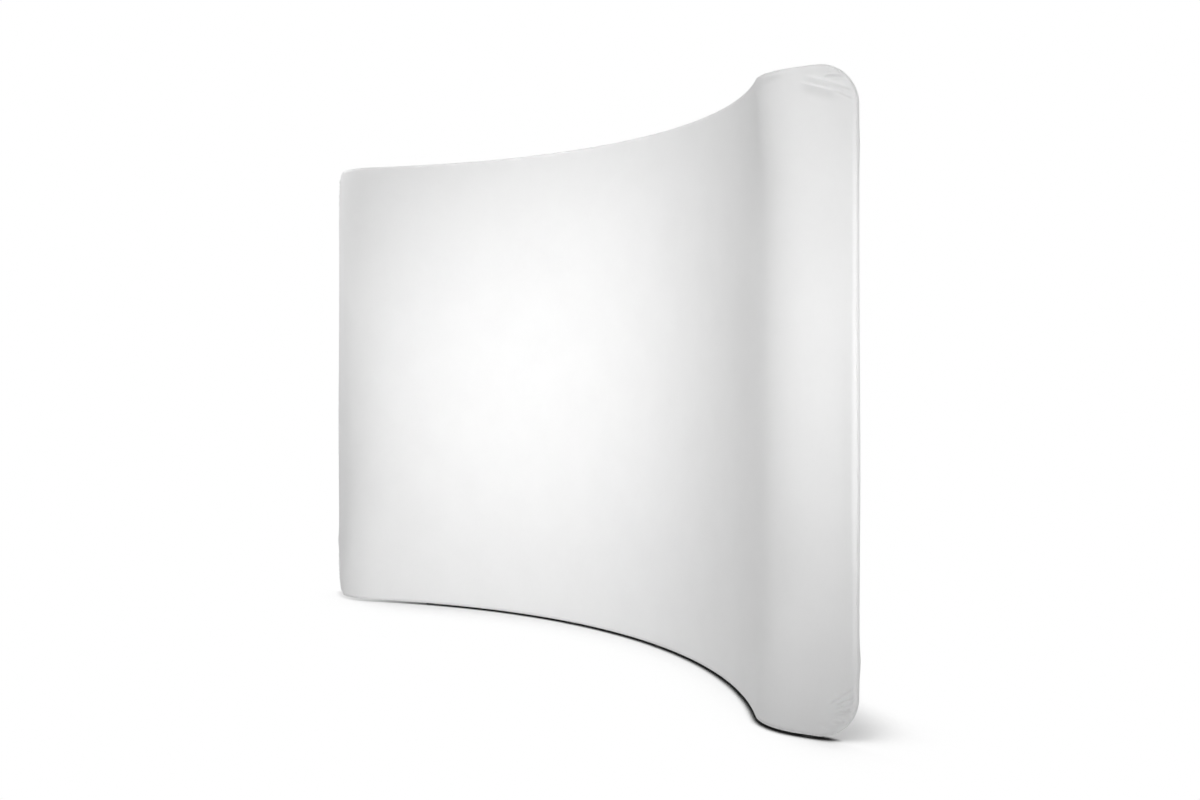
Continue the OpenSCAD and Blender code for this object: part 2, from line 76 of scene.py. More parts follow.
camera = bpy.data.objects.new("camera", bpy.data.cameras.new("camera"))
bpy.context.scene.collection.objects.link(camera)
camera.location = view["place"]
camera.rotation_euler = (math.radians(90), 0, math.radians(view["heading"]))
camera.data.sensor_width = 36
camera.data.lens = view["lens"]
camera.data.shift_y = view["shiftDown"]
camera.data.clip_end = 200
bpy.context.scene.camera = camera
bpy.context.scene.view_settings.view_transform = "Standard"
print("camera in place")


def planAt(run):
    # Place, heading away from the middle and outward normal of the plan curve at a run from the middle
    side = np.where(run < 0, -1.0, 1.0)
    far = np.abs(run)
    onArc = far <= arcLength
    turn = np.where(onArc, far / wall["railRadius"],
                    np.maximum(halfSweep - (far - arcLength) / wall["bendRadius"], farHeading))
    beyond = np.maximum(far - arcLength - bendLength, 0)
    x = np.where(onArc, wall["railRadius"] * np.sin(turn),
                 bendX - wall["bendRadius"] * np.sin(turn) + beyond * np.cos(turn))
    y = np.where(onArc, wall["railRadius"] * np.cos(turn),
                 bendY - wall["bendRadius"] * np.cos(turn) - beyond * np.sin(turn))
    nil = np.zeros_like(x)
    place = np.stack([side * x, y + wall["planY"], nil + middleZ], -1)
    heading = np.stack([side * np.cos(turn), -np.sin(turn), nil], -1)
    normal = np.stack([side * np.sin(turn), np.cos(turn), nil], -1)
    return place, heading, normal


def coverAt(run, rise, face, lift):
    # Where a cut cloth's point lies on the frame or round its rim. face is -1 in front and 1 at the back.
    pastRun = np.maximum(np.abs(run) - (halfLength - wall["corner"]), 0)
    pastRise = np.maximum(np.abs(rise) - (halfHeight - wall["corner"]), 0)
    reach = np.maximum(np.hypot(pastRun, pastRise), 1e-9)
    over = np.maximum(reach - wall["corner"], 0)
    outRun, outRise = pastRun / reach, np.sign(rise) * pastRise / reach
    baseRun = run - np.sign(run) * outRun * over
    baseRise = rise - outRise * over
    bend = (over / wall["coverRadius"])[..., None]
    place, heading, normal = planAt(baseRun)
    place[..., 2] += baseRise
    outward = outRun[..., None] * heading
    outward[..., 2] += outRise
    direction = face * normal * np.cos(bend) + outward * np.sin(bend)
    return place + direction * (wall["coverRadius"] + lift)[..., None]


def gridLines(half, wrap, steps, extra=()):
    # Lines from one edge of a cut cloth to the other, wide apart in the middle and close at the rim
    bends, corners = half - steps["bandReach"], half - steps["cornerReach"]
    parts = [(0, bends, steps["wide"]), (bends, corners, steps["band"]), (corners, half, steps["corner"]),
             (half, half + wrap, steps["rim"])]
    side = np.concatenate([[0]] + [np.linspace(low, high, max(2, round((high - low) / step) + 1))[1:]
                                   for low, high, step in parts])
    lines = np.concatenate([-side[::-1], side[1:]])
    for value in extra:
        lines = lines[np.abs(lines - value) > steps["corner"] * 0.5]
        lines = np.sort(np.append(lines, value))
    return lines


def roundBlocks(run, rise, wrap):
    # The grid's four corner squares bent to quarter discs, so that the rim is one round line
    rim = wall["corner"] + wrap
    x = np.clip((np.abs(run) - (halfLength - wall["corner"])) / rim, 0, 1)
    y = np.clip((np.abs(rise) - (halfHeight - wall["corner"])) / rim, 0, 1)
    both = (x > 0) & (y > 0)
    roundRun = np.sign(run) * (halfLength - wall["corner"] + rim * x * np.sqrt(1 - y * y / 2))
    roundRise = np.sign(rise) * (halfHeight - wall["corner"] + rim * y * np.sqrt(1 - x * x / 2))
    return np.where(both, roundRun, run), np.where(both, roundRise, rise)


def addMesh(name, points, faces, uv=None, smooth=True):
    mesh = bpy.data.meshes.new(name)
    points = np.asarray(points).reshape(-1, 3).tolist()
    mesh.from_pydata(points, [], [list(map(int, face)) for face in faces])
    if uv is not None:
        layer = mesh.uv_layers.new(name="cloth")
        corners = np.zeros(len(mesh.loops), np.int32)
        mesh.loops.foreach_get("vertex_index", corners)
        layer.data.foreach_set("uv", np.asarray(uv, np.float32).reshape(-1, 2)[corners].ravel())
    mesh.validate()
    mesh.shade_smooth() if smooth else mesh.shade_flat()
    piece = bpy.data.objects.new(name, mesh)
    bpy.context.scene.collection.objects.link(piece)
    return piece


def gridFaces(rows, columns, loopRows=False, loopColumns=False, flip=False):
    i, j = np.meshgrid(np.arange(rows if loopRows else rows - 1),
                       np.arange(columns if loopColumns else columns - 1), indexing="ij")
    nextI, nextJ = (i + 1) % rows, (j + 1) % columns
    first, second = i * columns, nextI * columns
    faces = np.stack([first + j, second + j, second + nextJ, first + nextJ], -1).reshape(-1, 4)
    return faces[:, ::-1] if flip else faces


def sweep(centres, first, second, radius, sides, closed):
    # Rings of a tube along a line; radius may differ from ring to ring and round each ring
    angle = np.arange(sides)[None, :, None] * 2 * math.pi / sides
    ring = np.cos(angle) * first[:, None, :] + np.sin(angle) * second[:, None, :]
    points = centres[:, None, :] + ring * np.broadcast_to(radius, (len(centres), sides))[:, :, None]
    faces = gridFaces(len(centres), sides, loopRows=closed, loopColumns=True)
    return points.reshape(-1, 3), faces


def solidify(piece, thickness):
    skin = piece.modifiers.new("clothThickness", "SOLIDIFY")
    skin.thickness = thickness
    skin.offset = -1
    skin.use_rim = True
    return piece


class Link:
    # A node's output socket. Sums and products of links and numbers add Math nodes.
    def __init__(self, shader, socket):
        self.shader = shader
        self.socket = socket

    def maths(self, operation, *values):
        return self.shader.node("ShaderNodeMath", {"operation": operation}, dict(enumerate(values)))

    def __add__(self, other):
        return self.maths("ADD", self, other)

    def __radd__(self, other):
        return self.maths("ADD", other, self)

    def __sub__(self, other):
        return self.maths("SUBTRACT", self, other)

    def __rsub__(self, other):
        return self.maths("SUBTRACT", other, self)

    def __mul__(self, other):
        return self.maths("MULTIPLY", self, other)

    def __rmul__(self, other):
        return self.maths("MULTIPLY", other, self)

    def sine(self):
        return self.maths("SINE", self)

    def absolute(self):
        return self.maths("ABSOLUTE", self)

    def most(self, other):
        return self.maths("MAXIMUM", self, other)


class Shader:
    def __init__(self, owner):
        owner.use_nodes = True
        self.owner = owner
        self.tree = owner.node_tree
        self.tree.nodes.clear()

    def node(self, kind, settings=None, sockets=None, output=0):
        made = self.tree.nodes.new(kind)
        for key, value in (settings or {}).items():
            if key == "stops":
                for stop, (at, colour) in zip(made.color_ramp.elements, value):
                    stop.position = at
                    stop.color = colour
            else:
                setattr(made, key, value)
        for key, value in (sockets or {}).items():
            if isinstance(value, Link):
                self.tree.links.new(value.socket, made.inputs[key])
            else:
                made.inputs[key].default_value = value
        return Link(self, made.outputs[output]) if len(made.outputs) else None

    def noise(self, where, scale, detail, roughness):
        return self.node("ShaderNodeTexNoise", None,
                         {"Vector": where, "Scale": scale, "Detail": detail, "Roughness": roughness})

    def ramp(self, factor, tones, low, high):
        stops = [(low, tones["low"]), (high, tones["high"])]
        return self.node("ShaderNodeValToRGB", {"stops": stops}, {0: factor})

    def blend(self, factor, first, second):
        return self.node("ShaderNodeMix", {"data_type": "RGBA"}, {0: factor, 6: first, 7: second}, 2)

    def bump(self, height, strength, distance):
        return self.node("ShaderNodeBump", None,
                         {"Height": height, "Strength": strength, "Distance": distance})

    def place(self, kind="Object"):
        return self.node("ShaderNodeTexCoord", None, None, kind)

    def stretch(self, where, factors):
        return self.node("ShaderNodeVectorMath", {"operation": "MULTIPLY"}, {0: where, 1: factors})

    def split(self, where, output):
        return self.node("ShaderNodeSeparateXYZ", None, {0: where}, output)

    def smoothStep(self, value, low, high):
        return self.node("ShaderNodeMapRange", {"interpolation_type": "SMOOTHSTEP"},
                         {"Value": value, "From Min": low, "From Max": high})

    def surface(self, **sockets):
        names = {"colour": "Base Color", "roughness": "Roughness", "metallic": "Metallic",
                 "normal": "Normal", "sheen": "Sheen Weight", "sheenRoughness": "Sheen Roughness",
                 "specular": "Specular IOR Level"}
        values = {names[key]: value for key, value in sockets.items()}
        made = self.node("ShaderNodeBsdfPrincipled", None, values)
        self.node("ShaderNodeOutputMaterial", None, {0: made})
        return self.owner


def finish(name):
    return Shader(bpy.data.materials.new(name))


def grey(value, warm=0.0):
    return (value * (1 + warm), value, value * (1 - warm), 1)


def stretchCloth(name, look):
    # A warp-knitted cloth pulled tight: fine wales across, finer courses, a soft nap, faint unevenness, and
    # painted shade in the gaps between its loops
    shader = finish(name)
    flat = shader.place("UV")
    across, along = shader.split(flat, "X"), shader.split(flat, "Y")
    wales = (across * (2 * math.pi / look["wale"])).sine()
    courses = (along * (2 * math.pi / look["course"]) + wales * 0.9).sine()
    loops = wales * 0.6 + courses * 0.4
    cloudy = shader.noise(flat, look["cloudScale"], detail=4, roughness=0.55)
    slub = shader.noise(shader.stretch(flat, look["slub"]), 1.0, detail=3, roughness=0.6)
    nap = shader.noise(flat, look["napScale"], detail=2, roughness=0.6)
    tone = shader.ramp(cloudy * 0.65 + slub * 0.35, look, low=0.3, high=0.7)
    # Painted shade: the cloth is darker in the gaps between the knit's loops, where the loops' waves dip
    loopShaded = shader.blend(loops * 0.5 + 0.5, look["paintedLoopShade"], tone)
    colour = shader.blend(look["paintedLoopShadeShare"], tone, loopShaded)
    height = loops * 0.5 + nap * 0.6 + slub * 0.5
    rough = cloudy * look["roughSpread"] + (look["roughness"] - look["roughSpread"] / 2)
    return shader.surface(colour=colour, roughness=rough, sheen=look["sheen"], sheenRoughness=0.35,
                          specular=0.25, normal=shader.bump(height, look["bump"], look["depth"]))


def metal(name, look):
    # Drawn or plated metal: fine draw lines, a patchy polish and handling marks
    shader = finish(name)
    where = shader.place()
    lines = shader.noise(shader.stretch(where, look["grain"]), 1.0, detail=5, roughness=0.7)
    patches = shader.noise(where, look["patchScale"], detail=3, roughness=0.55)
    rubs = shader.noise(where, look["patchScale"] * 9, detail=6, roughness=0.75)
    tone = shader.ramp(patches * 0.6 + lines * 0.4, look, low=0.32, high=0.68)
    marks = shader.ramp(rubs, {"low": grey(0.0), "high": grey(0.55)}, low=0.62, high=0.74)
    marked = shader.blend(marks, tone, look["mark"])
    rough = lines * look["roughSpread"] + patches * look["roughSpread"] + look["roughness"]
    return shader.surface(colour=marked, metallic=1.0, roughness=rough,
                          normal=shader.bump(lines * 0.7 + rubs * 0.3, look["bump"], look["depth"]))


def moulded(name, look):
    # Rubber or nylon with a fine eroded grain and a little dust in it
    shader = finish(name)
    where = shader.place()
    grain = shader.noise(where, look["grainScale"], detail=2, roughness=0.5)
    dust = shader.noise(where, look["dustScale"], detail=5, roughness=0.7)
    tone = shader.ramp(dust * 0.8 + grain * 0.2, look, low=0.4, high=0.72)
    rough = dust * look["roughSpread"] + look["roughness"]
    return shader.surface(colour=tone, roughness=rough, specular=look["specular"],
                          normal=shader.bump(grain, look["bump"], look["depth"]))


def wovenTape(name, look):
    # Herringbone tape: slanting ribs that turn over at each column
    shader = finish(name)
    flat = shader.place("UV")
    across, along = shader.split(flat, "Y"), shader.split(flat, "X")
    column = (across * (math.pi / look["column"])).sine().absolute()
    ribs = (along * (2 * math.pi / look["rib"]) + column * 3.0).sine()
    threads = (across * (2 * math.pi / look["thread"])).sine()
    fuzz = shader.noise(flat, look["fuzzScale"], detail=3, roughness=0.6)
    weave = ribs * 0.6 + threads * 0.3 + fuzz * 0.4
    tone = shader.ramp(weave * 0.4 + 0.45, look, low=0.2, high=0.8)
    rough = fuzz * look["roughSpread"] + look["roughness"]
    return shader.surface(colour=tone, roughness=rough, sheen=0.2, specular=0.3,
                          normal=shader.bump(weave, look["bump"], look["depth"]))


def thread(name, look):
    # Spun thread: a twist along it and a soft fuzz
    shader = finish(name)
    flat = shader.place("UV")
    twist = (shader.split(flat, "X") * (2 * math.pi / look["twist"])
             + shader.split(flat, "Y") * (2 * math.pi)).sine()
    fuzz = shader.noise(shader.place(), look["fuzzScale"], detail=2, roughness=0.6)
    tone = shader.ramp(twist * 0.3 + fuzz * 0.4 + 0.3, look, low=0.2, high=0.8)
    rough = fuzz * look["roughSpread"] + look["roughness"]
    return shader.surface(colour=tone, roughness=rough, sheen=0.25, specular=0.3,
                          normal=shader.bump(twist + fuzz * 0.5, look["bump"], look["depth"]))


# Lengths in the looks are metres, scales are noise cells per metre, and depth is the bump's height
frontLook = {
    "wale": 0.0011, "course": 0.0008, "cloudScale": 5.0, "slub": (260.0, 26.0, 1.0), "napScale": 1400.0,
    # The cloth's tones, then the painted shade between its loops and how much of it shows
    "low": grey(0.905), "high": grey(0.935), "paintedLoopShade": grey(0.84), "paintedLoopShadeShare": 0.2,
    "roughness": 0.82, "roughSpread": 0.12, "sheen": 0.08, "bump": 0.25, "depth": 0.0001,
}
backLook = dict(frontLook, low=grey(0.885), high=grey(0.92), paintedLoopShade=grey(0.81), roughness=0.85)
seamLook = {
    "twist": 0.003, "fuzzScale": 2200.0, "low": grey(0.84), "high": grey(0.93),
    "roughness": 0.7, "roughSpread": 0.1, "bump": 0.5, "depth": 0.0001,
}
stitchLook = dict(seamLook, twist=0.0012, low=grey(0.8), high=grey(0.9), bump=0.4)
tapeLook = {
    "column": 0.0016, "rib": 0.0011, "thread": 0.0005, "fuzzScale": 900.0, "low": grey(0.76),
    "high": grey(0.87), "roughness": 0.75, "roughSpread": 0.1, "bump": 0.6, "depth": 0.00015,
}
coilLook = {
    "grainScale": 1800.0, "dustScale": 90.0, "low": grey(0.86), "high": grey(0.78, 0.01),
    "roughness": 0.28, "roughSpread": 0.18, "specular": 0.5, "bump": 0.15, "depth": 0.0002,
}
rubberLook = {
    "grainScale": 2600.0, "dustScale": 140.0, "low": grey(0.016), "high": grey(0.07, 0.02),
    "roughness": 0.62, "roughSpread": 0.18, "specular": 0.35, "bump": 0.5, "depth": 0.0002,
}
tubeLook = {
    "grain": (60.0, 60.0, 900.0), "patchScale": 14.0, "low": grey(0.66), "high": grey(0.78),
    "mark": grey(0.55), "roughness": 0.24, "roughSpread": 0.12, "bump": 0.2, "depth": 0.0001,
}
spigotLook = {
    "grain": (700.0, 700.0, 120.0), "patchScale": 30.0, "low": grey(0.56), "high": grey(0.68),
    "mark": grey(0.42), "roughness": 0.3, "roughSpread": 0.12, "bump": 0.3, "depth": 0.0001,
}
springLook = {
    "grain": (900.0, 900.0, 300.0), "patchScale": 60.0, "low": grey(0.38, 0.05), "high": grey(0.52, 0.01),
    "mark": grey(0.3, 0.12), "roughness": 0.22, "roughSpread": 0.1, "bump": 0.15, "depth": 0.0001,
}
nickelLook = {
    "grain": (1200.0, 1200.0, 400.0), "patchScale": 110.0, "low": grey(0.6, 0.02), "high": grey(0.72, 0.01),
    "mark": grey(0.46), "roughness": 0.18, "roughSpread": 0.1, "bump": 0.15, "depth": 0.0001,
}
zincLook = {
    "grain": (1400.0, 1400.0, 500.0), "patchScale": 130.0, "low": (0.5, 0.54, 0.58, 1),
    "high": (0.68, 0.68, 0.62, 1), "mark": grey(0.38), "roughness": 0.26, "roughSpread": 0.12,
    "bump": 0.25, "depth": 0.0001,
}

frontCloth = stretchCloth("frontCloth", frontLook)
backCloth = stretchCloth("backCloth", backLook)
seamThread = thread("seamThread", seamLook)
stitchThread = thread("stitchThread", stitchLook)
zipWeave = wovenTape("zipWeave", tapeLook)
zipNylon = moulded("zipNylon", coilLook)
glideRubber = moulded("glideRubber", rubberLook)
drawnTube = metal("drawnTube", tubeLook)
turnedSpigot = metal("turnedSpigot", spigotLook)
springSteel = metal("springSteel", springLook)
nickelPlate = metal("nickelPlate", nickelLook)
zincPlate = metal("zincPlate", zincLook)
print("finishes made")


# Each fold is a ridge on a corner, or a crease where its height is negative. Its line runs between two points
# in metres in from that corner's two edges, and it has one width towards the edge and one away from it.
folds = {
    "topRight": [
        {"line": ((0.184, 0.037), (0.034, 0.088)), "height": 0.01, "width": (0.005, 0.022)},
        {"line": ((0.204, 0.058), (0.058, 0.106)), "height": 0.008, "width": (0.005, 0.022)},
        {"line": ((0.118, 0.043), (0.036, 0.05)), "height": 0.0068, "width": (0.0045, 0.006), "bend": 0.004},
        {"line": ((0.106, 0.03), (0.06, 0.034)), "height": 0.003, "width": (0.0035, 0.005), "bend": 0.002},
        {"line": ((0.372, 0.03), (0.262, 0.014)), "height": 0.006, "width": (0.0055, 0.014), "bend": 0.002},
    ],
    "topLeft": [
        {"line": ((0.205, 0.04), (0.05, 0.084)), "height": 0.0034, "width": (0.0075, 0.024), "bend": 0.002},
        {"line": ((0.122, 0.036), (0.052, 0.046)), "height": 0.0034, "width": (0.005, 0.008), "bend": 0.004},
    ],
    "bottomRight": [
        {"line": ((0.14, 0.044), (0.05, 0.033)), "height": -0.004, "width": (0.005, 0.008)},
        {"line": ((0.096, 0.052), (0.04, 0.043)), "height": -0.0036, "width": (0.0045, 0.006)},
        {"line": ((0.125, 0.07), (0.03, 0.099)), "height": -0.004, "width": (0.01, 0.014)},
        {"line": ((0.102, 0.024), (0.064, 0.018)), "height": -0.0024, "width": (0.0035, 0.004)},
        {"line": ((0.06, 0.104), (0.016, 0.109)), "height": -0.003, "width": (0.004, 0.006)},
    ],
    "bottomLeft": [
        {"line": ((0.17, 0.046), (0.056, 0.036)), "height": -0.002, "width": (0.006, 0.01)},
        {"line": ((0.11, 0.066), (0.036, 0.086)), "height": -0.0018, "width": (0.008, 0.014)},
    ],
}

foldEnds = {"rising": (-0.06, 0.30), "falling": (0.78, 1.06)}  # shares of a fold's length

# Short gathers that fan out to the rounded rim from a point near the rail's joint, in from the corner's two
# edges. The fan's first and last heading are in degrees, from straight at the side towards the long edge.
gathers = {
    "topRight": {"from": (0.190, 0.040), "fan": (16, -30), "count": 6, "height": 0.0012, "seed": 11},
    "topLeft": {"from": (0.180, 0.050), "fan": (20, -34), "count": 7, "height": 0.0014, "seed": 12},
    "bottomRight": {"from": (0.180, 0.060), "fan": (44, -36), "count": 14, "height": 0.0042, "seed": 13},
    "bottomLeft": {"from": (0.180, 0.060), "fan": (26, -40), "count": 10, "height": 0.0024, "seed": 14},
}

gatherShape = {
    "stray": 2,                  # degrees off its even place in the fan
    "start": (0.078, 0.118),     # how far from the fan's point a gather begins
    "rise": 0.03,                # and over what length it deepens
    "share": (0.5, 1.0),         # of the corner's height
    "width": (0.0032, 0.0044),
    "lip": 1.6,                  # how far the lip lies from the crease, in widths
    "crease": 0.8,               # how deep the crease is for a lip of 1
    "seamStop": (0.004, 0.012),  # where a gather ends, round the rim from the front line of the tube
}

cornerSides = {"topRight": (1, 1), "topLeft": (-1, 1), "bottomRight": (1, -1), "bottomLeft": (-1, -1)}


def smooth(value, low, high):
    share = np.clip((value - low) / (high - low), 0, 1)
    return share * share * (3 - 2 * share)


def foldHeight(run, rise, corner):
    # Height of one corner's long folds, in distances in from the corner's edges
    side, up = cornerSides[corner]
    x = halfLength + wall["coverRadius"] - side * run
    y = halfHeight + wall["coverRadius"] - up * rise
    total = np.zeros_like(run)
    for fold in folds[corner]:
        start, end = np.array(fold["line"])
        line = end - start
        length = np.hypot(*line)
        along = ((x - start[0]) * line[0] + (y - start[1]) * line[1]) / length ** 2
        across = ((x - start[0]) * line[1] - (y - start[1]) * line[0]) / length
        across = across + fold.get("bend", 0) * 4 * along * (1 - along)
        ends = smooth(along, *foldEnds["rising"]) * (1 - smooth(along, *foldEnds["falling"]))
        width = np.where(across < 0, *fold["width"])
        total += fold["height"] * ends * np.exp(-(across / width) ** 2)
    return total


def gatherHeight(run, rise, corner):
    # Each gather is a crease with a lip beside it, that deepens towards the rim and stops at the seam
    side, up = cornerSides[corner]
    gather = gathers[corner]
    pull = np.random.default_rng(gather["seed"])
    x = gather["from"][0] - (halfLength + wall["coverRadius"] - side * run)
    y = gather["from"][1] - (halfHeight + wall["coverRadius"] - up * rise)
    reach = np.hypot(x, y)
    angle = np.degrees(np.arctan2(y, x))
    kept = (1 - smooth(pastTube(run, rise), *gatherShape["seamStop"])) * (x > 0)
    total = np.zeros_like(run)
    for place in np.linspace(*gather["fan"], gather["count"]):
        heading = place + pull.uniform(-gatherShape["stray"], gatherShape["stray"])
        start = pull.uniform(*gatherShape["start"])
        high = gather["height"] * pull.uniform(*gatherShape["share"])
        wide = pull.uniform(*gatherShape["width"])
        off = np.radians(angle - heading) * reach
        lip = np.exp(-((off - gatherShape["lip"] * wide) / wide) ** 2)
        crease = gatherShape["crease"] * np.exp(-(off / wide) ** 2)
        total += high * smooth(reach, start, start + gatherShape["rise"]) * kept * (lip - crease)
    return total


# Where the cloth stands a little proud: along the ends, at heights above the floor, over the uprights' two
# joints and in between, and along the top, in from the ends, over the joints of the rails
swells = {
    "ends": [
        {"at": 0.272, "spread": 0.05, "height": 0.0042},
        {"at": 1.985, "spread": 0.06, "height": 0.0020},
        {"at": 0.920, "spread": 0.40, "height": 0.0036},
    ],
    "endFade": (-0.05, 0.006),  # metres past the rim line of the tube
    "top": {"from": 0.100, "to": 0.188, "blend": 0.014, "height": 0.0008},
    "topFade": (-0.02, 0.006),
}


def rimSwell(run, rise):
    nearEnd = smooth(np.abs(run) - halfLength, *swells["endFade"])
    nearTop = smooth(rise - halfHeight, *swells["topFade"])
    total = np.zeros_like(run)
    for swell in swells["ends"]:
        off = (rise + middleZ - swell["at"]) / swell["spread"]
        total += nearEnd * swell["height"] * np.exp(-off ** 2)
    top = swells["top"]
    inFrom = halfLength + wall["coverRadius"] - np.abs(run)
    flatTop = (smooth(inFrom, top["from"] - top["blend"], top["from"] + top["blend"])
               * (1 - smooth(inFrom, top["to"] - top["blend"], top["to"] + top["blend"])))
    return total + nearTop * top["height"] * flatTop


cloth = {
    "thickness": 0.0011,
    "frontWrap": math.radians(50) * wall["coverRadius"],
    "backWrap": math.radians(130) * wall["coverRadius"],
    "across": {"bandReach": 0.62, "cornerReach": 0.20,
               "wide": 0.035, "band": 0.011, "corner": 0.0026, "rim": 0.0020},
    "upwards": {"bandReach": 0.30, "cornerReach": 0.16,
                "wide": 0.050, "band": 0.008, "corner": 0.0026, "rim": 0.0020},
    "pullReach": 0.16,     # how far along the cloth a bend is felt
    "pullPoints": 401,
    "freeBand": 0.55,      # how far from a rail the pull is full
    "postSpread": 0.05,
    "backGathers": 0.8,    # depth of the back's gathers for a front of 1
    "grooveAt": 0.0118,    # the groove beside the seam, round the rim from the front line of the tube
    "grooveWidth": 0.0018,
    "grooveDepth": 0.0007,
    "restGap": 0.0001,
}

zipPlace = {
    "height": 0.075,
    "end": 34.4,
    "slit": 0.014,
}


def clothGrid(wrap, extraRun=(), extraRise=()):
    runs = gridLines(halfLength, wrap, cloth["across"], extraRun)
    rises = gridLines(halfHeight, wrap, cloth["upwards"], extraRise)
    run, rise = np.meshgrid(runs, rises, indexing="ij")
    flatRun, flatRise = roundBlocks(run, rise, wrap)
    return runs, rises, flatRun, flatRise


def pulledForward(run, rise):
    # Tight cloth cuts across the curve: away from the rails it draws forward along the hollow middle and
    # sinks back over the bends. Solved as a line pulled tight over a springy bed of the rails' shape.
    line = np.linspace(0, halfLength, cloth["pullPoints"])
    step = line[1]
    bent = np.where(line < arcLength, 1 / wall["railRadius"],
                    np.where(line < arcLength + bendLength, -1 / wall["bendRadius"], 0.0))
    near = np.full(len(line) - 1, 1 / step ** 2)
    hold = 2 / step ** 2 + 1 / cloth["pullReach"] ** 2
    rows = np.diag(near, 1) + np.diag(near, -1) - np.eye(len(line)) * hold
    rows[0, 1] *= 2
    rows[-1] = 0
    rows[-1, -1] = 1
    bent[-1] = 0
    shift = np.linalg.solve(rows, -bent)
    free = smooth(halfHeight - np.abs(rise), 0, cloth["freeBand"])
    return np.interp(np.abs(run), line, shift) * free


def pastTube(run, rise):
    # How far a point of the cloth lies round the rim, from the front line of the tube
    return np.hypot(np.maximum(np.abs(run) - (halfLength - wall["corner"]), 0),
                    np.maximum(np.abs(rise) - (halfHeight - wall["corner"]), 0)) - wall["corner"]


def restingLimit(run, rise):
    # How far the cloth may sink before it would lie inside the tube round the edge
    off = np.maximum(-pastTube(run, rise), 0)
    tubeFront = np.sqrt(np.maximum(wall["tubeRadius"] ** 2 - off ** 2, 0))
    limit = tubeFront + cloth["thickness"] + cloth["restGap"] - wall["coverRadius"]
    return np.where(off < wall["tubeRadius"], limit, -1.0)


def makeFront():
    runs, rises, run, rise = clothGrid(cloth["frontWrap"])
    lift = pulledForward(run, rise) + rimSwell(run, rise)
    for corner in cornerSides:
        lift = lift + foldHeight(run, rise, corner) + gatherHeight(run, rise, corner)
    groove = (pastTube(run, rise) - cloth["grooveAt"]) / cloth["grooveWidth"]
    lift = np.maximum(lift - cloth["grooveDepth"] * np.exp(-groove ** 2), restingLimit(run, rise))
    points = coverAt(run, rise, -1, lift)
    faces = gridFaces(len(runs), len(rises))
    piece = addMesh("frontCloth", points, faces, np.stack([run, rise], -1))
    piece.data.materials.append(frontCloth)
    solidify(piece, cloth["thickness"])
    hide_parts("front_panel")
    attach(piece, "wall")
    return piece


def makeBack():
    slitEnd = math.radians(zipPlace["end"]) * wall["railRadius"]
    low = zipPlace["height"] - middleZ - zipPlace["slit"] / 2
    high = zipPlace["height"] - middleZ + zipPlace["slit"] / 2
    runs, rises, run, rise = clothGrid(cloth["backWrap"], (-slitEnd, slitEnd), (low, high))
    postRun = math.radians(wall["postAngle"]) * wall["railRadius"]
    offPost = np.minimum(np.abs(run - postRun), np.abs(run + postRun))
    between = 1 - np.exp(-(offPost / cloth["postSpread"]) ** 2)
    lift = rimSwell(run, rise) - pulledForward(run, rise) * between
    for corner in cornerSides:
        lift = lift + cloth["backGathers"] * gatherHeight(run, rise, corner)
    lift = np.maximum(lift, restingLimit(run, rise))
    points = coverAt(run, rise, 1, lift)
    faces = gridFaces(len(runs), len(rises), flip=True)
    midRun = np.repeat((runs[1:] + runs[:-1]) / 2, len(rises) - 1)
    midRise = np.tile((rises[1:] + rises[:-1]) / 2, len(runs) - 1)
    inSlit = (np.abs(midRun) < slitEnd) & (midRise > low) & (midRise < high)
    piece = addMesh("backCloth", points, faces[~inSlit], np.stack([run, rise], -1))
    piece.data.materials.append(backCloth)
    solidify(piece, cloth["thickness"])
    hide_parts("back_panel")
    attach(piece, "wall")
    return piece


front = makeFront()
back = makeBack()
print("cloth made:", len(front.data.polygons), "and", len(back.data.polygons), "faces")


seam = {
    "angle": 50,      # round the tube, from the front
    "offset": 0.0173,
    "radius": 0.0019,
    "bite": 0.0002,   # how deep the stitches press into the seam
    "pitch": 0.003,
    "sides": 8,
}


def rimLine(step):
    # Points along the rounded rim and the way out of the wall at each, clockwise from the top left
    straight = np.array([halfLength - wall["corner"], halfHeight - wall["corner"]])
    centres = straight * [(-1, 1), (1, 1), (1, -1), (-1, -1), (-1, 1)]
    parts = []
    for start, end, degrees in zip(centres, centres[1:], (90, 0, 270, 180)):
        line = shares(np.hypot(*(end - start)), step)
        turn = shares(wall["corner"] * math.pi / 2, step)
        middle = np.concatenate([start + (end - start) * line[:, None], end + 0 * turn[:, None]])
        angle = np.radians(degrees - 90 * np.concatenate([0 * line, turn]))
        out = np.stack([np.cos(angle), np.sin(angle)], -1)
        parts.append(np.hstack([middle + wall["corner"] * out, out]))
    return np.concatenate(parts)


def shares(length, step):
    # An even number of shares of a length, each about one step
    count = round(length / step / 2) * 2
    return np.arange(count) / count


def makeSeam():
    run, rise, outRun, outRise = rimLine(seam["pitch"] / 2).T
    place, heading, normal = planAt(run)
    place[:, 2] += rise
    outward = np.abs(outRun)[:, None] * heading
    outward[:, 2] += outRise
    angle = math.radians(seam["angle"])
    first = -normal * math.cos(angle) + outward * math.sin(angle)
    second = normal * math.sin(angle) + outward * math.cos(angle)
    centres = place + first * (seam["offset"] + rimSwell(run, rise))[:, None]
    turn = np.arange(seam["sides"]) * 2 * math.pi / seam["sides"]
    beat = np.arange(len(run))[:, None] * math.pi
    radius = seam["radius"] + seam["bite"] * np.cos(beat + turn)
    points, faces = sweep(centres, first, second, radius, seam["sides"], True)
    along = np.arange(len(run)) * seam["pitch"] / 2
    uv = np.stack(np.meshgrid(along, turn / (2 * math.pi), indexing="ij"), -1)
    piece = addMesh("edgeSeam", points, faces, uv)
    piece.data.materials.append(seamThread)
    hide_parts("edge_seam")
    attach(piece, "wall")
    return piece


edgeSeam = makeSeam()
print("edge seam made:", len(edgeSeam.data.polygons), "faces")


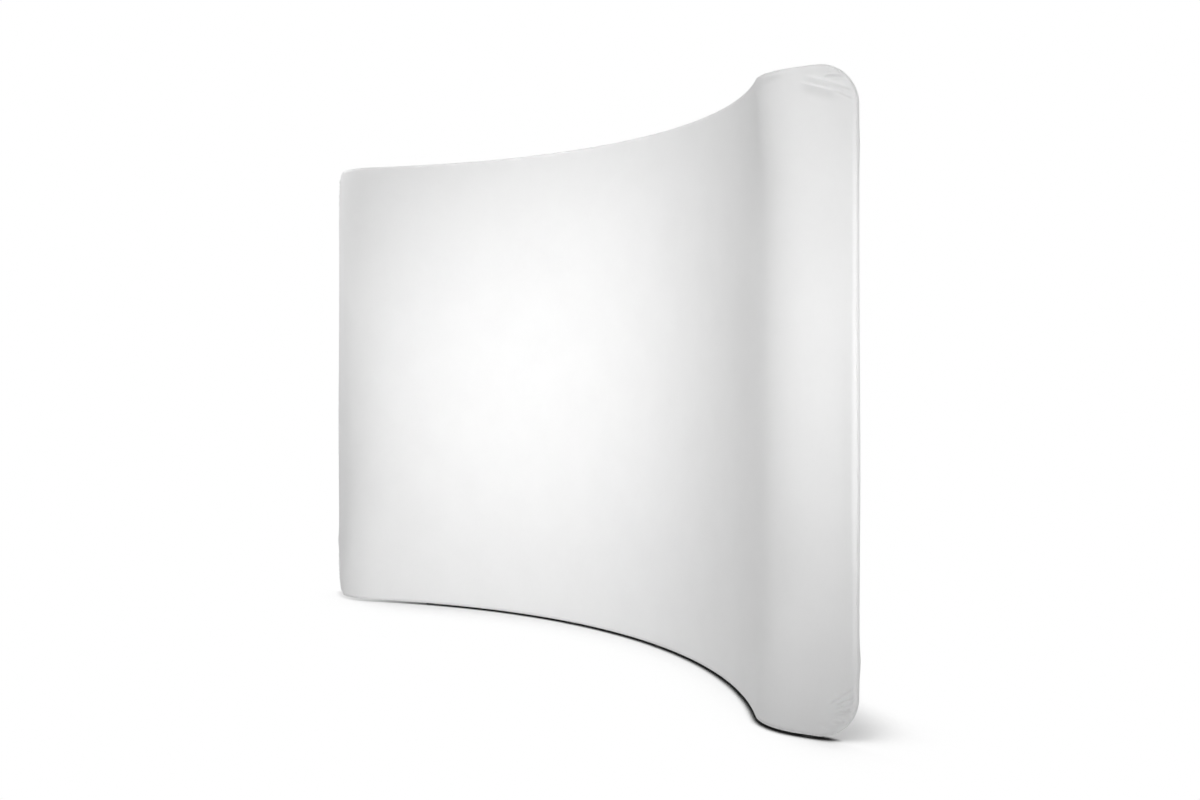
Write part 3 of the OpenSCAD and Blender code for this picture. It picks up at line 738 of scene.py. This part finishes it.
zipper = {
    "coilFace": 0.0188,
    "coilOffset": 0.0018,
    "coilEnd": 34.0,
    "coilRadius": 0.00082,
    "wire": 0.0003,
    "pitch": 0.0016,
    "perTurn": 9,
    "wireSides": 6,
    "tapeThickness": 0.0008,
    "tapeSteps": 601,
    "tapeInner": 0.0020,              # places across the tape, from the zip's middle line
    "tapeEdge": 0.0026,
    "tapeBend": 0.0060,
    "tapeLanding": (0.0075, 0.0078),  # where its underside and its top come down on the cloth
    "tapeOuter": 0.0140,
    "tapeRound": 0.0004,
    "tapeBlunt": (0.6, 0.3),          # how blunt its inner and outer edge are, 1 for square
    "tapeGap": 0.00012,
    "stitchRows": (0.0092, 0.0128),
    "stitchSink": 0.00018,
    "stitchPitch": 0.003,
    "stitchShare": 0.8,               # of the pitch that one loop covers
    "rowMargin": 0.006,
    "threadWide": 0.00030,
    "threadHigh": 0.00026,
    "threadRise": 1.1,                # how high a thread's middle lies, in its own radii
    "threadRings": [(-1.0, 0.15), (-0.55, 0.8), (0.0, 1.0), (0.55, 0.8), (1.0, 0.15)],  # place, thickness
    "threadSides": 5,
    "rowSink": 0.00013,
    "tackSink": 0.0001,
    "tack": (34.13, 34.37),           # degrees from the middle
    "tackThreads": 15,
    "tackReach": 0.0064,
}


def backOf(angle, off, rise):
    # A point behind the main curve: angle from the middle in radians, distance off the middle line, height
    radius = wall["railRadius"] + off
    return np.stack([radius * np.sin(angle), radius * np.cos(angle) + wall["planY"],
                     rise + 0 * angle], -1)


def makeTape(name, up):
    # Woven tape with a rounded edge: out over the slit beside the coil, down onto the cloth further off
    half = zipper["tapeThickness"] / 2
    over, on = zipper["coilFace"], wall["coverRadius"] + zipper["tapeGap"] + half
    inner, outer, curl = zipper["tapeInner"], zipper["tapeOuter"], zipper["tapeRound"]
    edge, bend, (under, upper) = zipper["tapeEdge"], zipper["tapeBend"], zipper["tapeLanding"]
    innerHalf, outerHalf = (half * share for share in zipper["tapeBlunt"])
    near, far = zipper["stitchRows"]
    sewn = on + half - zipper["stitchSink"]
    profile = np.array([
        (inner, over - innerHalf), (inner, over + innerHalf), (edge, over + half), (bend, over + half),
        (upper, on + half + curl), (near, sewn), ((near + far) / 2, on + half), (far, sewn),
        (outer - curl, on + half), (outer, on + outerHalf), (outer, on - half), (under, on - half),
        (bend, over - half), (edge, over - half)])
    angles = np.linspace(-1, 1, zipper["tapeSteps"]) * math.radians(zipPlace["end"])
    points = np.stack([backOf(angles, off, zipPlace["height"] + up * rise) for rise, off in profile], 1)
    faces = gridFaces(len(angles), len(profile), loopColumns=True, flip=up < 0)
    sides = len(profile)
    last = (len(angles) - 1) * sides
    ends = [list(range(sides))[::-up], list(range(last, last + sides))[::up]]
    around = np.concatenate([[0], np.cumsum(np.hypot(*np.diff(profile, axis=0).T))])
    along = angles * wall["railRadius"]
    uv = np.stack(np.meshgrid(along, around, indexing="ij"), -1)
    piece = addMesh(name, points, faces.tolist() + ends, uv)
    piece.data.materials.append(zipWeave)
    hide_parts("zip_tapes")
    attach(piece, "wall")
    return piece


def makeCoil(name, up):
    # One nylon coil, wound turn by turn
    reach = math.radians(zipper["coilEnd"])
    length = 2 * reach * (wall["railRadius"] + zipper["coilFace"])
    turns = round(length / zipper["pitch"])
    share = np.arange(turns * zipper["perTurn"] + 1) / (turns * zipper["perTurn"])
    angle = (share * 2 - 1) * reach
    spin = share * turns * 2 * math.pi * up
    off = zipper["coilFace"] + zipper["coilRadius"] * np.cos(spin)
    rise = zipPlace["height"] + up * zipper["coilOffset"] + zipper["coilRadius"] * np.sin(spin)
    line = backOf(angle, off, rise)
    outward = np.stack([np.sin(angle) * np.cos(spin), np.cos(angle) * np.cos(spin), np.sin(spin)], -1)
    heading = np.stack([np.cos(angle), -np.sin(angle), 0 * angle], -1)
    points, faces = sweep(line, outward, heading, zipper["wire"], zipper["wireSides"], False)
    piece = addMesh(name, points, faces)
    piece.data.materials.append(zipNylon)
    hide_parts("zip_coils")
    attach(piece, "wall")
    return piece


def stitchLoop(angle, rise, off, halfRun, halfRise):
    # One loop of thread on the zip, along it or up across it, thick in its middle and sunk at its ends
    rings = []
    spin = np.arange(zipper["threadSides"]) * 2 * math.pi / zipper["threadSides"]
    for along, thick in zipper["threadRings"]:
        across = zipper["threadWide"] * thick * np.sin(spin)
        turn = angle + (along * halfRun + across * (halfRise > 0)) / wall["railRadius"]
        high = zipper["threadHigh"] * thick * (zipper["threadRise"] + np.cos(spin))
        rings.append(backOf(turn, off + high, rise + along * halfRise + across * (halfRun > 0)))
    return np.concatenate(rings)


def makeStitches():
    # Two lockstitched rows on each tape, and a bar tack of close threads that shuts the slit at each end
    loops = []
    pitch, height = zipper["stitchPitch"], zipPlace["height"]
    reach = math.radians(zipPlace["end"]) * wall["railRadius"] - zipper["rowMargin"]
    onRow = wall["coverRadius"] + zipper["tapeThickness"] - zipper["rowSink"]
    onTape = zipper["coilFace"] + zipper["tapeThickness"] / 2 - zipper["tackSink"]
    for rise in [height + up * row for up in (1, -1) for row in zipper["stitchRows"]]:
        for place in np.arange(-reach, reach, pitch) / wall["railRadius"]:
            loops.append(stitchLoop(place, rise, onRow, pitch * zipper["stitchShare"] / 2, 0))
    for place in np.radians(np.linspace(*zipper["tack"], zipper["tackThreads"])):
        for end in (-1, 1):
            loops.append(stitchLoop(end * place, height, onTape, 0, zipper["tackReach"]))
    one = gridFaces(len(zipper["threadRings"]), zipper["threadSides"], loopColumns=True)
    faces = np.concatenate([one + place * len(loops[0]) for place in range(len(loops))])
    piece = addMesh("zipStitches", np.concatenate(loops), faces)
    piece.data.materials.append(stitchThread)
    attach(piece, "wall")
    return piece


tapeUpper = makeTape("zipTapeUpper", 1)
tapeLower = makeTape("zipTapeLower", -1)
coilUpper = makeCoil("zipCoilUpper", 1)
coilLower = makeCoil("zipCoilLower", -1)
zipStitches = makeStitches()
print("zip made:", 2 * len(coilUpper.data.polygons), "coil faces and",
      len(zipStitches.data.polygons), "stitch faces")


# Finishes of the frame's own parts, by the start of their names
nodeFinish = {
    "rail_": drawnTube, "corner_": drawnTube, "upright_": drawnTube, "post_": drawnTube,
    "rail_spigots": turnedSpigot, "upright_spigots": turnedSpigot, "post_spigots": turnedSpigot,
    "post_stubs": turnedSpigot, "spigot_rivets": turnedSpigot,
    "spring_clips": springSteel, "button_": springSteel,
    "zip_stops": nickelPlate, "zip_slider": nickelPlate, "zip_pull": nickelPlate,
    "glides": glideRubber, "glide_screws": zincPlate, "glide_nuts": zincPlate,
}

for name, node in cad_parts.items():
    kind = max((key for key in nodeFinish if name.startswith(key)), key=len, default=None)
    if kind:
        node.data.materials.clear()
        node.data.materials.append(nodeFinish[kind])
print("finishes on the frame's parts")


# The floor shows white where nothing stands close to it. Near the wall it is a lit floor with a shadow, and
# under the wall's bottom edge a near-black painted shade line set by a short occlusion test.
studio = {
    "floorReach": 40.0,
    "floorTone": 0.72,
    "samples": 12,
    "shadowReach": 0.5,
    "shadowLean": (-0.40, -0.40, 0.8),
    "shadowFade": (0.45, 0.88),    # shares of open sky between full shadow and white
    "contactReach": 0.038,
    "paintedContactShadeTone": 0.02,
    "contactDark": (0.52, 0.80),   # shares of open gap between the painted dark line's tone and the floor's
    "contactFade": (0.50, 0.92),
    "contactEnd": (-1.68, -1.05),  # from here to the left end the painted dark line and the shadow are painted over with white, going faint
    "endWhite": 0.75,
    "ambient": 0.18,
}

frontAim = (-0.1, 0.0, 1.25)
lamps = {
    "overhead": {"place": (-3.46, -2.00, 4.00), "aim": frontAim, "size": 3.0, "spread": 100, "power": 36.5},
    "above": {"place": (1.50, -2.60, 4.50), "aim": frontAim, "size": 2.0, "spread": 80, "power": 6.8},
    "right": {"place": (4.91, -3.44, 2.20), "aim": frontAim, "size": 2.0, "spread": 34, "power": 11.8},
    "lowRight": {"place": (5.44, -2.54, 1.00), "aim": frontAim, "size": 2.0, "spread": 34, "power": 6.2},
    "behind": {"place": (0.40, 4.60, 3.60), "aim": (0, 0, 1.1), "size": 3.0, "spread": 110, "power": 80.0},
}


def whenSeen(shader):
    # 1 where the camera sees a surface, straight or in gloss or glass
    path = "ShaderNodeLightPath"
    seen = shader.node(path, None, None, "Is Camera Ray")
    return seen.most(shader.node(path, None, None, "Is Glossy Ray")).most(
        shader.node(path, None, None, "Is Transmission Ray"))


def openShare(shader, **sockets):
    # How much of the space round a point of the floor is open
    return shader.node("ShaderNodeAmbientOcclusion", {"samples": studio["samples"]}, sockets, "AO")


def makeFloor():
    reach = studio["floorReach"]
    corners = [(-reach, -reach, 0), (reach, -reach, 0), (reach, reach, 0), (-reach, reach, 0)]
    floor = addMesh("floor", corners, [(0, 1, 2, 3)], smooth=False)
    shader = finish("floor")
    lean = shader.node("ShaderNodeCombineXYZ", None, dict(enumerate(studio["shadowLean"])))
    openSky = openShare(shader, Distance=studio["shadowReach"], Normal=lean)
    openGap = openShare(shader, Distance=studio["contactReach"])
    seen = whenSeen(shader)
    # Painted shade: for camera rays the floor turns near-black where the short occlusion test finds the
    # wall's bottom close
    outsidePaintedShade = (1 - seen).most(shader.smoothStep(openGap, *studio["contactDark"]))
    paintedContactShade = shader.node("ShaderNodeBsdfDiffuse", None, {"Color": grey(studio["paintedContactShadeTone"])})
    pale = shader.node("ShaderNodeBsdfDiffuse", None, {"Color": grey(studio["floorTone"])})
    ground = shader.node("ShaderNodeMixShader", None, {0: outsidePaintedShade, 1: paintedContactShade, 2: pale})
    # Partly real and partly painted shadow: a leaned occlusion test decides where the lit floor, with the
    # lamps' real shadows, shows instead of white
    clear = (shader.smoothStep(openSky, *studio["shadowFade"])
             * shader.smoothStep(openGap, *studio["contactFade"]))
    run = shader.split(shader.place(), "X")
    # Painted light: towards the left end the floor is whitened over its shadow and dark line by position
    clear = clear.most((1 - shader.smoothStep(run, *studio["contactEnd"])) * studio["endWhite"])
    white = shader.node("ShaderNodeEmission", None, {"Color": grey(1.0), "Strength": 1.0})
    mixed = shader.node("ShaderNodeMixShader", None, {0: clear * seen, 1: ground, 2: white})
    shader.node("ShaderNodeOutputMaterial", None, {0: mixed})
    floor.data.materials.append(shader.owner)


def makeWorld():
    world = bpy.data.worlds.new("studio")
    bpy.context.scene.world = world
    shader = Shader(world)
    seen = whenSeen(shader)
    level = seen * (1.0 - studio["ambient"]) + studio["ambient"]
    sky = shader.node("ShaderNodeBackground", None, {"Color": grey(1.0), "Strength": level})
    shader.node("ShaderNodeOutputWorld", None, {0: sky})


def makeLamp(name, lamp):
    light = bpy.data.objects.new(name, bpy.data.lights.new(name, "AREA"))
    light.data.shape = "SQUARE"
    light.data.size = lamp["size"]
    light.data.spread = math.radians(lamp["spread"])
    light.data.energy = lamp["power"]
    light.location = lamp["place"]
    light.visible_camera = False
    way = [b - a for a, b in zip(lamp["place"], lamp["aim"])]
    across = math.hypot(way[0], way[1])
    light.rotation_euler = (math.atan2(across, -way[2]), 0, math.atan2(way[1], way[0]) - math.pi / 2)
    bpy.context.scene.collection.objects.link(light)


makeFloor()
makeWorld()
for name, lamp in lamps.items():
    makeLamp(name, lamp)
print("floor, backdrop and light made")
